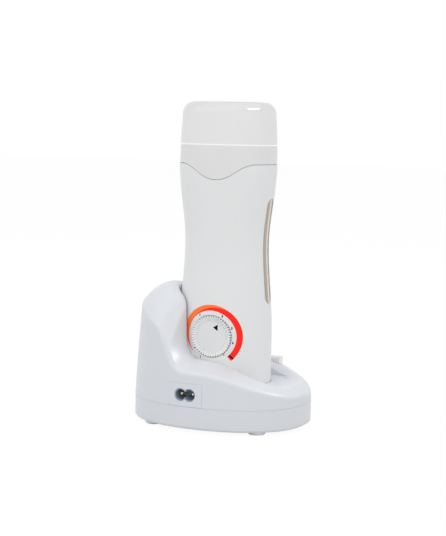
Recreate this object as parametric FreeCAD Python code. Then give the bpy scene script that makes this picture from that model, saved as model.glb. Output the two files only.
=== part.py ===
import FreeCAD, Part
import math
import os
from FreeCAD import Vector

# Roll-on wax heater: a waisted handle with a heated cartridge well, a temperature
# dial, a level window and a frosted cap, standing in a mains dock.
# Millimetres. +Z is up, -Y is the dial side, +X is the window side.
# The origin is on the table, under the middle of the dock.

# ---------------------------------------------------------------- dock sizes
base_half_length = 66.0
base_half_depth = 52.4
base_roundness = 2.2
base_wall = 2.4
base_draft = 4.0
draft_start_z = 25.0
draft_blend = 6.0
foot_height = 2.0
parting_z = 18.2
parting_groove = 0.1
base_edge_radius = 2.2
crease_radius = 4.0

pocket_gap = 0.5
pocket_wall = 2.2
pocket_floor_z = 13.6
pocket_floor_thickness = 2.2

dish_reach = 50.0
dish_step = 1.5
dish_roundness = 4.0
dish_floor_z = 31.0
dish_dip = 1.2

ridge_z = 49.0
ridge_bend_x = 5.0
ridge_slope = 0.36
edge_z = 42.8
edge_bend_x = 14.0
edge_slope = 0.36
slope_blend = 9.0
crown_rim_z = 99.9
crown_rim_slope = 0.56
crown_edge_z = 87.4
crown_edge_slope = 0.52
deck_crown = 2.6
collar_crown = 10.9
collar_crown_place = 0.62
riser_rim_angle = 124.9
riser_rim_lean = 1.4
riser_foot_reach = 19.0
riser_foot_share = 0.42
riser_top_reach = 11.0
riser_top_share = 0.17
riser_edge_angle = 111.3
riser_edge_spread = 22.0
riser_crown_start = 0.7
riser_crown_stop = 2.4
rim_roll = 1.4
rim_flare = 0.8
dish_roll = 3.6
dish_flare = 3.2
dish_blend_angle = 40.0

foot_x = 40.0
foot_y = 34.0
foot_radius = 6.5
foot_recess = 1.0
base_screw_x = 47.0
base_screw_y = 24.0
boss_radius = 3.6
screw_radius = 1.4
screw_head_radius = 2.9
screw_head_height = 1.8

# --------------------------------------------------------------- inlet sizes
inlet_x = -8.5
inlet_width = 26.5
inlet_top_z = 35.0
inlet_depth = 14.0
inlet_pin_gap = 8.6
inlet_pin_radius = 1.2
inlet_pin_recess = 5.5
socket_lobe_radius = 4.6
socket_lobe_offset = 3.5
socket_wall = 0.7
bezel_thickness = 5.0
groove_gap = 0.08

# ---------------------------------------------- plug between dock and handle
plug_half_length = 9.5
plug_half_width = 4.5
plug_height = 5.5
plug_gap = 0.6
contact_gap = 8.6
fit_gap = 0.3

# -------------------------------------------------------------- switch sizes
switch_x = 24.8
switch_y = 35.0
switch_length = 13.0
switch_depth = 7.0
switch_top_z = 44.3
switch_floor_z = 37.2
switch_travel = 4.0
switch_ribs = 6
switch_seat_thickness = 2.0
switch_body_half_length = 7.5
switch_body_half_depth = 4.2

# -------------------------------------------------------------- handle sizes
handle_x = 1.0
seat_gap = 0.2
waist_z = 132.0
shoulder_z = 188.0
cap_top_z = 234.5
foot_half_width = 35.3
waist_half_width = 31.3
shoulder_half_width = 35.9
top_half_width = 33.7
foot_half_depth = 26.2
waist_half_depth = 22.9
shoulder_half_depth = 25.0
top_half_depth = 23.4
foot_roundness = 2.0
waist_roundness = 2.2
shoulder_roundness = 2.4
handle_wall = 2.2
cover_thickness = 2.2

wave_high_z = 189.8
wave_low_z = 178.6
wave_half_width = 30.0
seam_gap = 0.35
neck_top_z = 203.6
neck_gap = 0.6
cap_wall = 1.7
cap_top_radius = 8.5

# -------------------------------------------------- heating and window sizes
cartridge_half_width = 26.0
cartridge_half_depth = 17.0
cartridge_gap = 0.8
chamber_roundness = 2.4
chamber_wall = 1.0
chamber_floor_z = 86.0
window_low_z = 88.5
window_high_z = 165.5
window_half_width = 6.0
lens_recess = 0.7
lens_clearance = 0.12
lens_flange_reach = 1.4
lens_flange_thickness = 0.6
mat_thickness = 0.8

# ---------------------------------------------------------------- dial sizes
dial_x = 0.1
dial_z = 65.7
dial_radius = 15.2
dial_thickness = 3.5
dial_gap = 0.35
dial_face_radius = 11.1
dial_dish = 2.0
dial_ribs = 48
dial_turn = 276.0
rib_groove_half_width = 0.6
rib_groove_depth = 0.7
ring_inner = 18.8
ring_outer = 22.9
ring_thickness = 0.4
shaft_radius = 3.0
thermostat_radius = 12.5
thermostat_depth = 11.0

OUTLINE_POINTS = 16


# ------------------------------------------------------------------- helpers
def box(x0, x1, y0, y1, z0, z1):
    """Solid block between two corners."""
    return Part.makeBox(x1 - x0, y1 - y0, z1 - z0, Vector(x0, y0, z0))


def post(radius, x, y, z0, z1):
    """Upright cylinder."""
    return Part.makeCylinder(radius, z1 - z0, Vector(x, y, z0))


def rod(radius, x, y0, y1, z):
    """Cylinder along the Y axis."""
    return Part.makeCylinder(radius, y1 - y0, Vector(x, y0, z), Vector(0, 1, 0))


def ease(u):
    """Step from 0 to 1 with level ends."""
    u = min(max(u, 0.0), 1.0)
    return u * u * (3.0 - 2.0 * u)


def soft_ramp(distance, blend):
    """Zero before the bend, a straight ramp after it, rounded between."""
    return 0.5 * (distance + math.hypot(distance, blend))


def oval_point(half_x, half_y, roundness, angle):
    """Point of a superellipse at an angle in degrees, as (x, y)."""
    c = math.cos(math.radians(angle))
    s = math.sin(math.radians(angle))
    reach = (abs(c) ** roundness + abs(s) ** roundness) ** (-1.0 / roundness)
    return half_x * reach * c, half_y * reach * s


def closed_curve(points, parameters=None):
    """Closed smooth edge through the points."""
    curve = Part.BSplineCurve()
    if parameters is None:
        curve.interpolate(Points=points, PeriodicFlag=True)
    else:
        curve.interpolate(Points=points, PeriodicFlag=True, Parameters=parameters)
    return curve.toShape()


def oval_wire(half_x, half_y, roundness, z, centre_x=0.0):
    """Superellipse outline at one height."""
    points = []
    for i in range(OUTLINE_POINTS):
        x, y = oval_point(half_x, half_y, roundness, 360.0 * i / OUTLINE_POINTS)
        points.append(Vector(centre_x + x, y, z))
    return Part.Wire([closed_curve(points)])


def oval_prism(half_x, half_y, roundness, z0, z1, centre_x=0.0):
    """Upright solid on a superellipse outline."""
    face = Part.Face(oval_wire(half_x, half_y, roundness, z0, centre_x))
    return face.extrude(Vector(0, 0, z1 - z0))


def stadium_x(half_width, z0, z1, x0, x1):
    """Solid along X with a round-ended upright slot section."""
    low = Part.makeCylinder(half_width, x1 - x0, Vector(x0, 0, z0 + half_width), Vector(1, 0, 0))
    high = Part.makeCylinder(half_width, x1 - x0, Vector(x0, 0, z1 - half_width), Vector(1, 0, 0))
    middle = box(x0, x1, -half_width, half_width, z0 + half_width, z1 - half_width)
    return low.fuse([high, middle]).removeSplitter()


def save(name, shape):
    """Write one node as a STEP file."""
    shape.exportStep("parts/" + name + ".step")


# -------------------------------------------------------- the dock's outline
def draft_at(z):
    """How far the dock's side wall leans in at a height."""
    return math.tan(math.radians(base_draft)) * soft_ramp(z - draft_start_z, draft_blend)


def base_block(inset, z0, z1):
    """The dock's drafted block, with its wall moved in by the inset."""
    wires = []
    for level in range(4):
        z = z0 + (z1 - z0) * level / 3.0
        lean = inset + draft_at(z)
        wires.append(oval_wire(base_half_length - lean, base_half_depth - lean, base_roundness, z))
    return Part.makeLoft(wires, True)


pocket_half_width = foot_half_width + pocket_gap
pocket_half_depth = foot_half_depth + pocket_gap
dish_half_depth = pocket_half_depth - dish_step


ROOF_ROLL_SHARE = 0.18
ROOF_EDGE_SHARE = 0.85
ROOF_PLACES = [0.0, 0.12, 0.24, 0.34, 0.44, 0.54, 0.66, 0.8, 0.92]
ROOF_PLACES += [1.0 + 0.1 * i for i in range(11)]
ROOF_PLACES += [2.15, 2.4, 2.7, 3.0]


def rim_station(place):
    """Angle, height share and turn of the inner rim: deck 0-1, riser 1-2, collar 2-3."""
    foot_end = riser_rim_angle - riser_rim_lean / 2.0
    top_start = riser_rim_angle + riser_rim_lean / 2.0
    if place <= 1.0:
        return (foot_end - riser_foot_reach) * place, 0.0, 0.0
    if place <= 1.5:
        turn = math.radians(180.0 * (place - 1.0))
        angle = foot_end - riser_foot_reach * (1.0 - math.sin(turn))
        return angle, riser_foot_share * (1.0 - math.cos(turn)), turn
    if place <= 2.0:
        turn = math.radians(180.0 * (2.0 - place))
        angle = top_start + riser_top_reach * (1.0 - math.sin(turn))
        return angle, 1.0 - riser_top_share * (1.0 - math.cos(turn)), turn
    start = top_start + riser_top_reach
    return start + (180.0 - start) * (place - 2.0), 1.0, 0.0


def edge_station(place):
    """Angle and height share of the outer crease at the same place."""
    start = riser_edge_angle - riser_edge_spread / 2.0
    stop = riser_edge_angle + riser_edge_spread / 2.0
    if place <= 1.0:
        return start * place, 0.0
    if place <= 2.0:
        return start + riser_edge_spread * (place - 1.0), ease(place - 1.0)
    return stop + (180.0 - stop) * (place - 2.0), 1.0


def inward_turn(place, inset):
    """How far an inset skin's riser stands behind the outer one, in degrees."""
    if place <= 1.0:
        return 0.0
    return math.degrees(inset / pocket_half_depth) * min(1.0, 3.0 - place)


def rim_outline(angle, outward):
    """Point of the pocket's and the dish's outline, moved outward."""
    half_x = pocket_half_width + outward
    half_y = pocket_half_depth + outward
    x, y = oval_point(half_x, half_y, foot_roundness, angle)
    if angle < 90.0:
        x, y = oval_point(dish_reach + outward, dish_half_depth + outward, dish_roundness, angle)
        beside = max(0.0, 1.0 - (x / half_x) ** 2)
        y = max(y, half_y * math.sqrt(beside))
    return Vector(handle_x + x, y, 0)


def dish_floor_at(y):
    """Height of the dish's curved floor."""
    return dish_floor_z + dish_dip * (y / pocket_half_depth) ** 2


def roof_section(place, inset):
    """Four poles of the deck's or the collar's section, from inside the rim to outside."""
    angle, rim_share, turn = rim_station(place)
    angle += inward_turn(place, inset)
    on_dish = ease((90.0 - angle) / dish_blend_angle)
    flare = rim_flare + (dish_flare - rim_flare) * on_dish
    rim = rim_outline(angle, flare)
    low = ridge_z - ridge_slope * soft_ramp(rim.x - ridge_bend_x, slope_blend)
    high = crown_rim_z - crown_rim_slope * (rim.x - handle_x + pocket_half_width)
    rim.z = low + (high - low) * rim_share - inset
    roll = rim_roll + (dish_roll - rim_roll) * on_dish
    roll = 2.0 * min(roll, rim.z - dish_floor_at(rim.y))
    behind = math.degrees(roll / pocket_half_depth) * math.sin(turn)
    below = rim_outline(min(angle + behind, 180.0), -flare)
    below.z = rim.z - roll * math.cos(turn)

    angle, edge_share = edge_station(place)
    angle += inward_turn(place, inset)
    x, y = oval_point(base_half_length, base_half_depth, base_roundness, angle)
    edge_low = edge_z - edge_slope * soft_ramp(x - edge_bend_x, slope_blend)
    edge_high = crown_edge_z - crown_edge_slope * (x + base_half_length)
    z = edge_low + (edge_high - edge_low) * edge_share
    lean = draft_at(z)
    x, y = oval_point(base_half_length - lean, base_half_depth - lean, base_roundness, angle)
    edge = Vector(x, y, z - inset * (1.0 + edge_share))

    share = ease((place - riser_crown_start) / (riser_crown_stop - riser_crown_start))
    across = 0.5 + (collar_crown_place - 0.5) * share
    crown = rim + (edge - rim) * across
    crown_low = low + (edge_low - low) * across + deck_crown
    crown_high = high + (edge_high - high) * across + collar_crown
    crown.z = crown_low + (crown_high - crown_low) * share - inset * (1.0 + share * across)
    joint = rim + (crown - rim) * ROOF_ROLL_SHARE
    before = 1.0 - ROOF_EDGE_SHARE
    pulled = joint * before ** 2 + crown * (2.0 * ROOF_EDGE_SHARE * before)
    beyond = (edge - pulled) * (1.0 / ROOF_EDGE_SHARE ** 2)
    return [below, rim, crown, beyond]


def roof(inset):
    """Everything above the deck and the collar's top."""
    rear = [roof_section(place, inset) for place in ROOF_PLACES]
    front = [[Vector(pole.x, -pole.y, pole.z) for pole in poles] for poles in rear]
    sections = front + list(reversed(rear[1:-1]))
    parameters = [0.0]
    for near, far in zip(sections, sections[1:] + sections[:1]):
        step = (near[1].distanceToPoint(far[1]) + near[3].distanceToPoint(far[3])) / 2.0
        parameters.append(parameters[-1] + step ** 0.6)
    rows = []
    for poles in zip(*sections):
        row = Part.BSplineCurve()
        row.interpolate(Points=list(poles), PeriodicFlag=True, Parameters=parameters)
        rows.append(row)
    surface = Part.BSplineSurface()
    surface.buildFromPolesMultsKnots(
        [list(poles) for poles in zip(*[row.getPoles() for row in rows])],
        rows[0].getMultiplicities(),
        [3, 1, 3],
        rows[0].getKnots(),
        [0.0, ROOF_ROLL_SHARE, 1.0],
        True,
        False,
        rows[0].Degree,
        2,
    )
    return surface.toShape().extrude(Vector(0, 0, cap_top_z))


# ------------------------------------------------------------ the dock shells
dish_radius = pocket_half_depth ** 2 / (2.0 * dish_dip)
above_all = cap_top_z + 20.0
plug_top_z = pocket_floor_z + plug_height
screw_places = [(x, y) for x in (-base_screw_x, base_screw_x) for y in (-base_screw_y, base_screw_y)]
foot_places = [(x, y) for x in (-foot_x, foot_x) for y in (-foot_y, foot_y)]


def pocket(wall, z0):
    """The handle's pocket, or the block that its wall is cut from."""
    half_x = pocket_half_width + wall
    half_y = pocket_half_depth + wall
    return oval_prism(half_x, half_y, foot_roundness, z0, above_all, handle_x)


def dish(wall, z0):
    """The open dish beside the pocket, on the window side."""
    half_x = dish_reach + wall
    half_y = dish_half_depth + wall
    full = oval_prism(half_x, half_y, dish_roundness, z0, above_all, handle_x)
    return full.common(box(handle_x, 2 * base_half_length, -half_y, half_y, z0, above_all))


def dish_hollow():
    """The dish with its shallow curved floor."""
    centre = Vector(handle_x, 0, dish_floor_z + dish_radius)
    trough = Part.makeCylinder(dish_radius, 2 * base_half_length, centre, Vector(1, 0, 0))
    return dish(0.0, dish_floor_z - 1.0).common(trough)


def base_room():
    """The hollow inside the upper dock shell."""
    room = base_block(base_wall, parting_z - 1.0, crown_rim_z + 4.0).cut(roof(base_wall))
    room = room.cut(pocket(pocket_wall, 0.0))
    return room.cut(dish(pocket_wall, dish_floor_z - base_wall))


switch_slot = switch_length + switch_travel + 0.8
switch_rest_x = switch_x + switch_travel / 2.0


def switch_well():
    """The level slot that the switch slides in."""
    half = switch_depth / 2.0 + 0.4
    x0 = switch_x - switch_slot / 2.0
    return box(x0, x0 + switch_slot, switch_y - half, switch_y + half, switch_floor_z, above_all)


def inlet_block(clearance, y0, y1):
    """Block of the mains inlet's face, less a clearance all round."""
    half = inlet_width / 2.0 - clearance
    z0 = parting_z + clearance
    return box(inlet_x - half, inlet_x + half, y0, y1, z0, inlet_top_z - clearance)


def dock_form():
    """Upper dock form with a rounded crease, pocket and dish, still solid inside."""
    form = base_block(0.0, parting_z, crown_rim_z + 6.0).cut(roof(0.0))
    creases = []
    for edge in form.Edges:
        loops_round = edge.Length > 4 * base_half_length
        if loops_round and edge.BoundBox.ZMax > edge_z and edge.BoundBox.YMax > pocket_half_depth:
            creases.append(edge)
    form = form.makeFillet(crease_radius, creases)
    form = form.cut(pocket(0.0, pocket_floor_z))
    return form.cut(dish_hollow())


def plug_block(clearance, z0, z1):
    """Block of the plug between the dock and the handle, grown by a clearance."""
    half_x = plug_half_length + clearance
    half_y = plug_half_width + clearance
    return box(handle_x - half_x, handle_x + half_x, -half_y, half_y, z0, z1)


switch_under_z = switch_floor_z - switch_seat_thickness


def switch_block(clearance, z0, z1):
    """Block of the switch's body under the deck, grown by a clearance."""
    half_x = switch_body_half_length + clearance
    half_y = switch_body_half_depth + clearance
    return box(switch_x - half_x, switch_x + half_x, switch_y - half_y, switch_y + half_y, z0, z1)


def make_base_top_shell():
    """Upper dock shell: side wall, collar, deck, pocket, slots and screw bosses."""
    form = dock_form()
    shell = form.cut(base_room())
    cup = pocket(pocket_wall, pocket_floor_z - pocket_floor_thickness)
    cup = cup.common(box(-60, 60, -60, 60, 0, parting_z + 1.0))
    cup = cup.cut(pocket(0.0, pocket_floor_z))
    bosses = []
    for x, y in screw_places:
        bosses.append(post(boss_radius, x, y, parting_z, crown_rim_z).common(form))
    half = switch_depth / 2.0 + 2.0
    x0 = switch_x - switch_slot / 2.0 - 1.6
    x1 = switch_x + switch_slot / 2.0 + 1.6
    seat = box(x0, x1, switch_y - half, switch_y + half, switch_under_z, above_all)
    shell = shell.fuse([cup, seat.common(form)] + bosses)
    holes = [post(screw_radius + 0.05, x, y, 0, parting_z + 9.0) for x, y in screw_places]
    stem_reach = switch_travel / 2.0 + 2.2
    stem = box(switch_x - stem_reach, switch_x + stem_reach, switch_y - 1.3, switch_y + 1.3, 0, above_all)
    mouth = inlet_block(0.0, -base_half_depth - 5.0, -base_half_depth + base_wall + 3.0)
    plug = plug_block(fit_gap, 0, pocket_floor_z + 1.0)
    nest = switch_block(fit_gap, parting_z, switch_under_z)
    return shell.cut(holes + [switch_well(), stem, mouth, plug, nest])


def make_base_bottom_shell():
    """Lower dock shell: tray with a locating lip, screw tubes and foot recesses."""
    top = parting_z - parting_groove
    tray = base_block(0.0, foot_height, top)
    rims = [edge for edge in tray.Edges if edge.BoundBox.ZMax < foot_height + 0.01]
    tray = tray.makeFillet(base_edge_radius, rims)
    floor_z = foot_height + base_wall
    hollow = base_block(base_wall + 1.2, floor_z, above_all - 60)
    tray = tray.cut(hollow)
    lip = base_block(base_wall + 0.15, parting_z - 3.0, parting_z + 1.8).cut(hollow)
    lip = lip.cut(box(inlet_x - 17.0, inlet_x + 17.0, -60, 0, top, above_all))
    tubes = [post(boss_radius, x, y, floor_z - 0.5, parting_z - 0.2) for x, y in screw_places]
    tray = tray.fuse([lip] + tubes)
    cuts = []
    for x, y in screw_places:
        cuts.append(post(screw_radius + 0.2, x, y, 0, parting_z + 1.0))
        cuts.append(post(screw_head_radius + 0.2, x, y, 0, foot_height + screw_head_height + 0.6))
    for x, y in foot_places:
        cuts.append(post(foot_radius + 0.1, x, y, 0, foot_height + foot_recess))
    return tray.cut(cuts)


def make_rubber_feet():
    """Four rubber feet pressed into the tray's recesses."""
    feet = []
    for x, y in foot_places:
        foot = post(foot_radius, x, y, 0, foot_height + foot_recess)
        low_edges = [edge for edge in foot.Edges if edge.BoundBox.ZMax < 0.01]
        feet.append(foot.makeChamfer(0.8, low_edges))
    return Part.makeCompound(feet)


def make_base_screws():
    """Four screws that hold the dock's shells together."""
    screws = []
    head_z = foot_height + 0.6
    for x, y in screw_places:
        head = post(screw_head_radius, x, y, head_z, head_z + screw_head_height)
        cross = box(x - 1.8, x + 1.8, y - 0.35, y + 0.35, 0, head_z + 0.9)
        cross = cross.fuse(box(x - 0.35, x + 0.35, y - 1.8, y + 1.8, 0, head_z + 0.9))
        shank = post(screw_radius, x, y, head_z, parting_z + 8.0)
        screws.append(head.fuse(shank).cut(cross))
    return Part.makeCompound(screws)


# ----------------------------------------------------------- the mains inlet
inlet_z = (parting_z + inlet_top_z) / 2.0
bezel_back_y = -base_half_depth + bezel_thickness + 2.2
socket_back_y = -base_half_depth + inlet_depth + 2.0


def figure_eight(radius, y0, y1):
    """Solid along Y with the two-lobed section of a small mains inlet."""
    left = rod(radius, inlet_x - socket_lobe_offset, y0, y1, inlet_z)
    right = rod(radius, inlet_x + socket_lobe_offset, y0, y1, inlet_z)
    return left.fuse(right)


def make_inlet_bezel():
    """Inlet face plate, flush with the curved side wall, with a flange behind it."""
    plate = inlet_block(groove_gap, -base_half_depth - 2.0, bezel_back_y)
    plate = plate.common(base_block(0.0, foot_height, inlet_top_z + 5.0))
    flange = inlet_block(-1.5, bezel_back_y - 1.2, bezel_back_y)
    flange = flange.common(base_block(base_wall + 1.8, foot_height, inlet_top_z + 5.0))
    flange = flange.cut(box(-60, 60, -60, 0, 0, parting_z + groove_gap))
    return plate.fuse(flange).cut(figure_eight(socket_lobe_radius + 0.1, -60, 0))


def make_inlet_socket():
    """Dark two-lobed insulator that the mains lead plugs into."""
    front = -base_half_depth + 1.5
    tube = figure_eight(socket_lobe_radius, front, socket_back_y)
    half = socket_lobe_offset + socket_lobe_radius + 2.0
    high = socket_lobe_radius + 1.4
    y0 = bezel_back_y + 0.1
    flange = box(inlet_x - half, inlet_x + half, y0, y0 + 1.5, inlet_z - high, inlet_z + high)
    cavity = figure_eight(socket_lobe_radius - socket_wall, front - 1.0, socket_back_y - 1.8)
    body = tube.fuse(flange).cut(cavity)
    for side in (-1, 1):
        body = body.cut(rod(inlet_pin_radius, inlet_x + side * inlet_pin_gap / 2.0, -60, 0, inlet_z))
    return body


def make_inlet_pins():
    """The inlet's two round pins with their tails."""
    pins = []
    for side in (-1, 1):
        x = inlet_x + side * inlet_pin_gap / 2.0
        tip_y = -base_half_depth + inlet_pin_recess
        pin = rod(inlet_pin_radius, x, tip_y, socket_back_y, inlet_z)
        tips = [edge for edge in pin.Edges if edge.BoundBox.YMax < tip_y + 0.01]
        pin = pin.makeChamfer(0.5, tips)
        tail = rod(inlet_pin_radius * 0.6, x, socket_back_y - 0.2, socket_back_y + 3.0, inlet_z)
        pins.append(pin.fuse(tail))
    return Part.makeCompound(pins)


# ------------------------------------------------------ the dock's electrics
def make_dock_connector():
    """Plug block that stands up through the pocket floor into the handle."""
    floor_low = pocket_floor_z - pocket_floor_thickness
    riser_block = plug_block(0.0, floor_low - 3.0, plug_top_z)
    uprights = [edge for edge in riser_block.Edges if edge.BoundBox.ZLength > 5]
    riser_block = riser_block.makeFillet(1.5, uprights)
    flange = box(handle_x - 13.0, handle_x + 13.0, -7.5, 7.5, floor_low - 3.0, floor_low - 0.1)
    body = riser_block.fuse(flange)
    for side in (-1, 1):
        body = body.cut(post(1.0, handle_x + side * contact_gap / 2.0, 0, 0, above_all))
    return body


def make_dock_contacts():
    """Two round contacts that stand out of the plug block."""
    contacts = []
    for side in (-1, 1):
        x = handle_x + side * contact_gap / 2.0
        contact = post(1.0, x, 0, pocket_floor_z - pocket_floor_thickness - 5.0, plug_top_z + 4.0)
        tips = [edge for edge in contact.Edges if edge.BoundBox.ZMin > plug_top_z + 3.9]
        contacts.append(contact.makeChamfer(0.4, tips))
    return Part.makeCompound(contacts)


def make_switch_body():
    """Slide switch under the deck, with the slot that its slider's stem moves in."""
    top = switch_under_z
    body = switch_block(0.0, top - 9.0, top)
    stem_reach = switch_travel / 2.0 + 2.0
    x0 = switch_x - stem_reach
    x1 = switch_x + stem_reach
    body = body.cut(box(x0, x1, switch_y - 1.2, switch_y + 1.2, top - 3.0, top + 1.0))
    for side in (-1, 1):
        x = switch_x + side * 5.0
        body = body.fuse(box(x - 0.4, x + 0.4, switch_y - 1.5, switch_y + 1.5, top - 13.0, top - 8.9))
    return body


def make_switch_slider():
    """Ribbed slide cap on the rear of the deck, with its stem."""
    x0 = switch_rest_x - switch_length / 2.0
    x1 = switch_rest_x + switch_length / 2.0
    y0 = switch_y - switch_depth / 2.0
    y1 = switch_y + switch_depth / 2.0
    cap = box(x0, x1, y0, y1, switch_floor_z + 0.2, switch_top_z)
    uprights = [edge for edge in cap.Edges if edge.BoundBox.ZLength > 2]
    cap = cap.makeFillet(1.2, uprights)
    tops = [edge for edge in cap.Edges if edge.BoundBox.ZMin > switch_top_z - 0.01]
    cap = cap.makeFillet(0.6, tops)
    pitch = (switch_length - 2.6) / (switch_ribs - 1)
    grooves = []
    for i in range(switch_ribs):
        x = x0 + 1.3 + i * pitch
        tall = box(x - 0.4, x + 0.4, y0 - 1, y1 + 1, switch_floor_z + 1.6, switch_top_z + 1)
        core = box(x - 1.0, x + 1.0, y0 + 0.5, y1 - 0.5, switch_floor_z + 1.0, switch_top_z - 0.5)
        grooves.append(tall.cut(core))
    z0 = switch_floor_z - 4.6
    z1 = switch_floor_z + 0.5
    stem = box(switch_rest_x - 1.9, switch_rest_x + 1.9, switch_y - 1.0, switch_y + 1.0, z0, z1)
    return cap.cut(grooves).fuse(stem)


# --------------------------------------------------------- the handle's form
def handle_size(z):
    """Half width, half depth and roundness of the handle at a height."""
    foot = (foot_half_width, foot_half_depth, foot_roundness)
    waist = (waist_half_width, waist_half_depth, waist_roundness)
    shoulder = (shoulder_half_width, shoulder_half_depth, shoulder_roundness)
    top = (top_half_width, top_half_depth, shoulder_roundness)
    if z < waist_z:
        low, high, share = foot, waist, ease((z - dial_z) / (waist_z - dial_z))
    elif z < shoulder_z:
        low, high, share = waist, shoulder, ease((z - waist_z) / (shoulder_z - waist_z))
    else:
        low, high, share = shoulder, top, ((z - shoulder_z) / (cap_top_z - shoulder_z)) ** 2
    return [a + (b - a) * share for a, b in zip(low, high)]


def handle_form(inset, z0, z1):
    """Solid length of the handle's outer form, moved in by the inset."""
    count = max(2, math.ceil((z1 - z0) / 14.0))
    wires = []
    for level in range(count + 1):
        z = z0 + (z1 - z0) * level / count
        half_x, half_y, roundness = handle_size(z)
        wires.append(oval_wire(half_x - inset, half_y - inset, roundness, z, handle_x))
    return Part.makeLoft(wires, True)


def above_wave(rise):
    """Everything above the wavy seam between the handle and its cap."""
    high = wave_high_z + rise
    low = wave_low_z + rise
    pull = 0.45 * wave_half_width
    far = 2 * shoulder_half_width
    y = -far
    left = Vector(handle_x - wave_half_width, y, high)
    middle = Vector(handle_x, y, low)
    right = Vector(handle_x + wave_half_width, y, high)
    down = Part.BezierCurve()
    down.setPoles([left, left + Vector(pull, 0, 0), middle - Vector(pull, 0, 0), middle])
    up = Part.BezierCurve()
    up.setPoles([middle, middle + Vector(pull, 0, 0), right - Vector(pull, 0, 0), right])
    ceiling = above_all + 20.0
    places = [(far, high), (far, ceiling), (-far, ceiling), (-far, high)]
    corners = [right] + [Vector(x, y, z) for x, z in places] + [left]
    edges = [down.toShape(), up.toShape()]
    for start, end in zip(corners[:-1], corners[1:]):
        edges.append(Part.makeLine(start, end))
    return Part.Face(Part.Wire(edges)).extrude(Vector(0, 2 * far, 0))


cover_low_z = pocket_floor_z + seat_gap
shell_low_z = cover_low_z + cover_thickness + 0.1
rim_y = -foot_half_depth - 0.2
dial_back_y = rim_y + dial_thickness
recess_y = dial_back_y + dial_gap
cup_back_y = recess_y + 1.8
cup_radius = dial_radius + dial_gap + 1.8
hub_radius = 4.6
hub_back_y = cup_back_y + 2.6
bracket_y = cup_back_y + 4.0
bracket_x = thermostat_radius + 3.0
handle_screw_x = 20.0
handle_screw_z = 34.0
ledge_z = chamber_floor_z - 5.6


def body_tube():
    """The handle's two shells as one tube below the seam."""
    top = wave_high_z + 4.0
    tube = handle_form(0.0, shell_low_z, top)
    tube = tube.cut(handle_form(handle_wall, shell_low_z - 1.0, top + 1.0))
    return tube.cut(above_wave(0.0))


def front_half(keep_front):
    """Block in front of the joint between the shells, or behind it."""
    reach = 2 * base_half_depth
    if keep_front:
        return box(-reach, reach, -reach, -0.05, -10, above_all + 20)
    return box(-reach, reach, 0.05, reach, -10, above_all + 20)


def seat_ledge():
    """Ledge inside the shells that carries the chamber's seat."""
    ring = handle_form(handle_wall - 0.3, ledge_z, ledge_z + 1.8)
    return ring.cut(handle_form(handle_wall + 2.0, ledge_z - 1.0, ledge_z + 3.0))


def ring_tool(extra):
    """Cutter for the coloured scale ring on the front face."""
    tube = rod(ring_outer + extra, dial_x, -60, 0, dial_z)
    tube = tube.cut(rod(ring_inner - extra, dial_x, -61, 1, dial_z))
    gap = 360.0 - dial_turn
    reach = 2 * ring_outer
    spread = reach * math.tan(math.radians(gap / 2.0))
    apex = Vector(0, -60, 0)
    corners = [apex, Vector(-spread, -60, -reach), Vector(spread, -60, -reach), apex]
    wedge = Part.Face(Part.makePolygon(corners)).extrude(Vector(0, 60, 0))
    wedge.translate(Vector(dial_x, 0, dial_z))
    return tube.cut(wedge)


def ring_skin(depth):
    """Thin layer of the handle's face in the scale ring's height range."""
    low = dial_z - ring_outer - 6.0
    high = dial_z + ring_outer + 6.0
    return handle_form(-0.5, low, high).cut(handle_form(depth, low - 1.0, high + 1.0))


def make_handle_front_shell():
    """Front shell with the dial's recess, the scale ring's groove and its bosses."""
    shell = body_tube().fuse(seat_ledge()).common(front_half(True))
    cup = rod(cup_radius, dial_x, -foot_half_depth + 1.2, cup_back_y, dial_z)
    cup = cup.common(handle_form(0.6, shell_low_z, waist_z))
    bosses = []
    for side in (-1, 1):
        x = handle_x + side * handle_screw_x
        boss = rod(3.4, x, -foot_half_depth, -0.05, handle_screw_z)
        bosses.append(boss.common(handle_form(0.6, shell_low_z, waist_z)))
        bosses.append(rod(2.4, dial_x + side * bracket_x, cup_back_y - 1.0, bracket_y, dial_z))
    shell = shell.fuse([cup] + bosses)
    cuts = [rod(dial_radius + dial_gap, dial_x, -60, recess_y, dial_z)]
    cuts.append(rod(hub_radius + 0.35, dial_x, -60, 0, dial_z))
    cuts.append(ring_tool(0.05).common(ring_skin(ring_thickness + 0.05)))
    cuts.append(window_prism(0.0))
    for side in (-1, 1):
        cuts.append(rod(1.25, handle_x + side * handle_screw_x, -14.0, 0, handle_screw_z))
        cuts.append(rod(1.0, dial_x + side * bracket_x, bracket_y - 3.5, 0, dial_z))
    return shell.cut(cuts)


def make_handle_rear_shell():
    """Rear shell with its counterbored screw bosses."""
    shell = body_tube().fuse(seat_ledge()).common(front_half(False))
    bosses = []
    cuts = [window_prism(0.0)]
    for side in (-1, 1):
        x = handle_x + side * handle_screw_x
        boss = rod(4.8, x, 0.05, foot_half_depth, handle_screw_z)
        bosses.append(boss.common(handle_form(0.6, shell_low_z, waist_z)))
        cuts.append(rod(1.6, x, 0, foot_half_depth, handle_screw_z))
        cuts.append(rod(3.2, x, 10.0, 2 * foot_half_depth, handle_screw_z))
    return shell.fuse(bosses).cut(cuts)


def make_handle_screws():
    """Two screws that draw the handle's shells together."""
    screws = []
    for side in (-1, 1):
        x = handle_x + side * handle_screw_x
        head = rod(2.8, x, 10.0, 12.0, handle_screw_z)
        screws.append(head.fuse(rod(1.2, x, -12.0, 10.5, handle_screw_z)))
    return Part.makeCompound(screws)


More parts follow.
